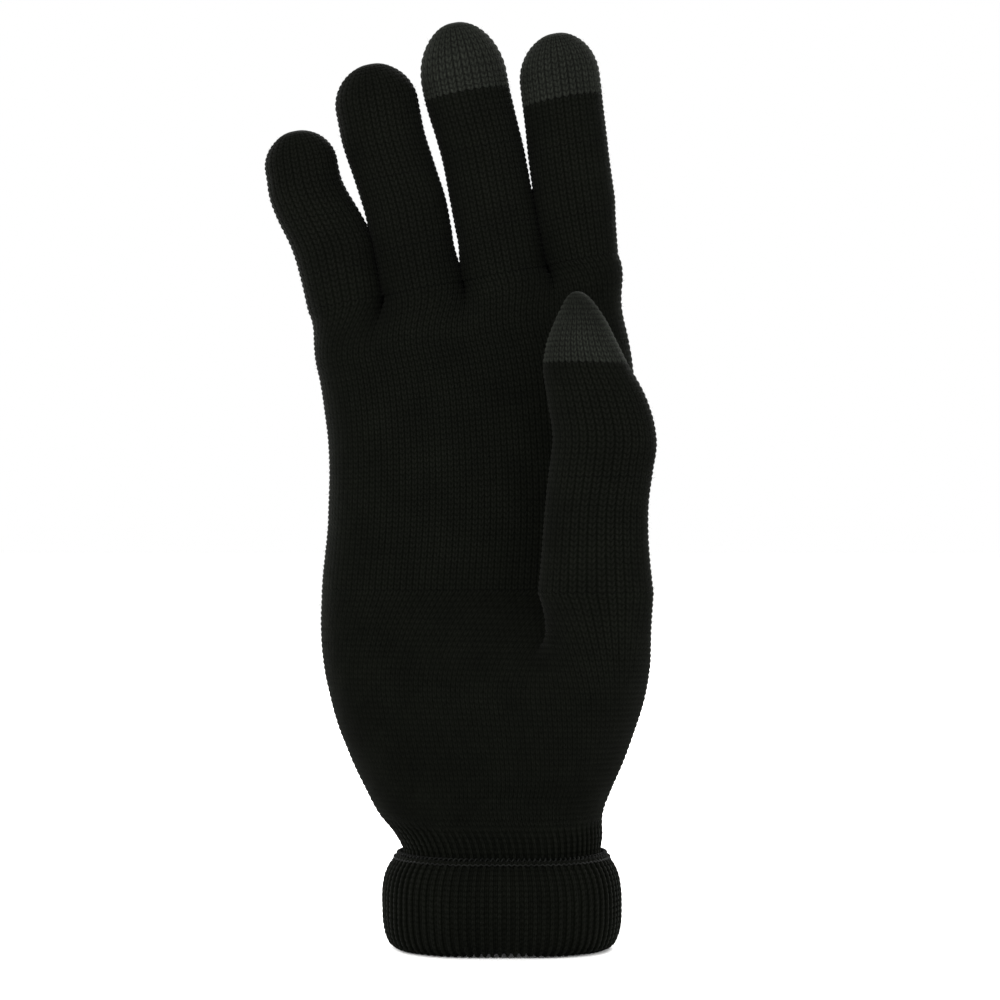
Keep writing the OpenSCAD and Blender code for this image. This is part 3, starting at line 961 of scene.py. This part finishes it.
class GLOVE_OT_thumb(Operator):
    """Knit the thumb stall and its conductive tip"""
    bl_idname = "glove.thumb"
    bl_label = "Thumb stall"

    def execute(self, context):
        base = knitted(
            "thumb_stall_lower", rows_of(thumb_line, courses(THUMB_CROTCH, THUMB_BEND)))
        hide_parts("thumb_stall")
        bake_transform(base)
        band = knitted(
            "thumb_stall_upper", rows_of(thumb_line, courses(THUMB_BEND, TOUCH_THUMB)))
        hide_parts("thumb_end_band")
        foot = THUMB[-1, 0]
        round_end = 1 - np.linspace(1, 0, 4 * ROWS + 1) ** 2
        heights = np.concatenate([
            courses(TOUCH_THUMB, foot)[:-1], foot + (THUMB_TIP[0] - foot) * round_end])
        tip = knitted(
            "thumb_touch_tip_knit", rows_of(thumb_line, heights), "touch", tip=(0, 0, 1),
            knit=1 - ease(heights, THUMB_CLOSING, THUMB_TIP[0]))
        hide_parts("thumb_touch_tip")
        for piece in (band, tip):
            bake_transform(piece)
        return {"FINISHED"}


class GLOVE_OT_fingers(Operator):
    """Knit the four finger stalls, two of them with conductive tips"""
    bl_idname = "glove.fingers"
    bl_label = "Finger stalls"

    def execute(self, context):
        sizes = context.scene.glove_sizes
        lean = math.radians(LEAN)
        tip_way = (-math.sin(lean), 0, math.cos(lean))
        for name, stall in STALLS.items():
            length = getattr(sizes, name + "_length") / MM
            centre, cap = stall[0], stall[-2]
            line = partial(stall_line, name)
            foot = length - cap
            first, second = FIRST_BEND * length, SECOND_BEND * length
            low, high = first * 0.55, (first + second) / 2
            touch = length - getattr(sizes, name + "_touch") / MM if hasattr(
                sizes, name + "_touch") else high
            conductive = touch > high

            def blended(piece, upper, start, end):
                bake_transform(piece)

            base = knitted(name + "_stall_lower", rows_of(line, courses(0, low)))
            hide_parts(name + "_stall_base")
            blended(base, "_base", 1, low - 0.3)
            middle = knitted(name + "_stall_mid", rows_of(line, courses(low, high)))
            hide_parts(name + "_stall_middle")
            blended(middle, "_middle", low, 2 * first - low)
            round_end = foot + cap * np.sin(np.linspace(0, math.pi / 2, 12 * ROWS + 1))
            round_end = round_end[round_end > touch]
            reach = min(second - high, BEND_REACH)
            bend = (second - reach, second + reach)
            if conductive:
                band = knitted(name + "_stall_band", rows_of(line, courses(high, touch)))
                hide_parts(name + "_end_band")
                blended(band, "_end", *bend)
            below = courses(touch, foot)[:-1] if foot > touch + 0.5 else [touch]
            heights = np.concatenate([below, round_end])
            tip = knitted(
                name + ("_touch_tip_knit" if conductive else "_stall_closed_end"),
                rows_of(line, heights), "touch" if conductive else "black", tip=tip_way,
                knit=1 - ease(heights, length - CLOSING, length))
            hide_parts(name + ("_touch_tip" if conductive else "_stall_end"))
            blended(tip, "_end", *bend)
        return {"FINISHED"}


class GLOVE_OT_stage(Operator):
    """Lay the floor, hang the lights and set up the camera"""
    bl_idname = "glove.stage"
    bl_label = "Stage"

    def execute(self, context):
        scene = context.scene
        far = 6000
        corners = [(-far, -far, 0), (far, -far, 0), (far, far, 0), (-far, far, 0)]
        floor = plain_mesh("floor", corners, [(0, 1, 2, 3)])
        floor.data.materials.append(floor_material(scene.glove_colours.floor))
        scene.view_settings.view_transform = "Standard"
        scene.world = bpy.data.worlds.new("white_room")
        scene.world.use_nodes = True
        background = scene.world.node_tree.nodes["Background"]
        background.inputs["Color"].default_value = (1, 1, 1, 1)
        background.inputs["Strength"].default_value = 1.0
        for name, place, turn, size, power in (
            ("key", (-0.7, -1.0, 1.0), (52, 0, -35), 0.8, 16),
            ("fill", (0.9, -0.7, 0.5), (65, 0, 52), 1.0, 6),
            ("back", (0.5, 1.1, 0.9), (-55, 0, -24), 0.8, 40),
            ("back fill", (-0.9, 0.9, 0.5), (-66, 0, 45), 0.8, 20),
        ):
            lamp = bpy.data.lights.new(name, "AREA")
            lamp.size, lamp.energy = size, power
            lamp_object = bpy.data.objects.new(name, lamp)
            lamp_object.location = place
            lamp_object.rotation_euler = [math.radians(a) for a in turn]
            scene.collection.objects.link(lamp_object)
        lens = bpy.data.cameras.new("camera")
        lens.sensor_width, lens.lens = 36, 108.7
        lens.clip_start, lens.clip_end = 0.01, 50
        camera = bpy.data.objects.new("camera", lens)
        camera.location = (-0.0005, -0.8, 0.1184)
        camera.rotation_euler = (math.pi / 2, 0, 0)
        scene.collection.objects.link(camera)
        scene.camera = camera
        return {"FINISHED"}


class GLOVE_PT_panel(Panel):
    bl_idname = "GLOVE_PT_panel"
    bl_label = "Knitted glove"
    bl_space_type = "VIEW_3D"
    bl_region_type = "UI"
    bl_category = "Glove"

    def draw(self, context):
        for settings in GROUPS:
            group = getattr(context.scene, settings)
            box = self.layout.box()
            for key in group.bl_rna.properties.keys():
                if key not in ("rna_type", "name"):
                    box.prop(group, key)
        for operator in OPERATORS:
            self.layout.operator(operator.bl_idname)


GROUPS = {
    "glove_sizes": GloveSizes,
    "glove_stitches": GloveStitches,
    "glove_threads": GloveThreads,
    "glove_colours": GloveColours,
}
OPERATORS = (
    GLOVE_OT_stage, GLOVE_OT_wrist, GLOVE_OT_cuff, GLOVE_OT_hem, GLOVE_OT_elastic,
    GLOVE_OT_palm, GLOVE_OT_thumb, GLOVE_OT_fingers,
)


def register():
    for item in (*GROUPS.values(), *OPERATORS, GLOVE_PT_panel):
        bpy.utils.register_class(item)
    for key, group in GROUPS.items():
        setattr(bpy.types.Scene, key, PointerProperty(type=group))


def unregister():
    for key in GROUPS:
        delattr(bpy.types.Scene, key)
    for item in (GLOVE_PT_panel, *reversed(OPERATORS), *reversed(GROUPS.values())):
        bpy.utils.unregister_class(item)


def main():
    register()
    for operator in OPERATORS:
        group, name = operator.bl_idname.split(".")
        getattr(getattr(bpy.ops, group), name)()


if __name__ == "__main__":
    main()
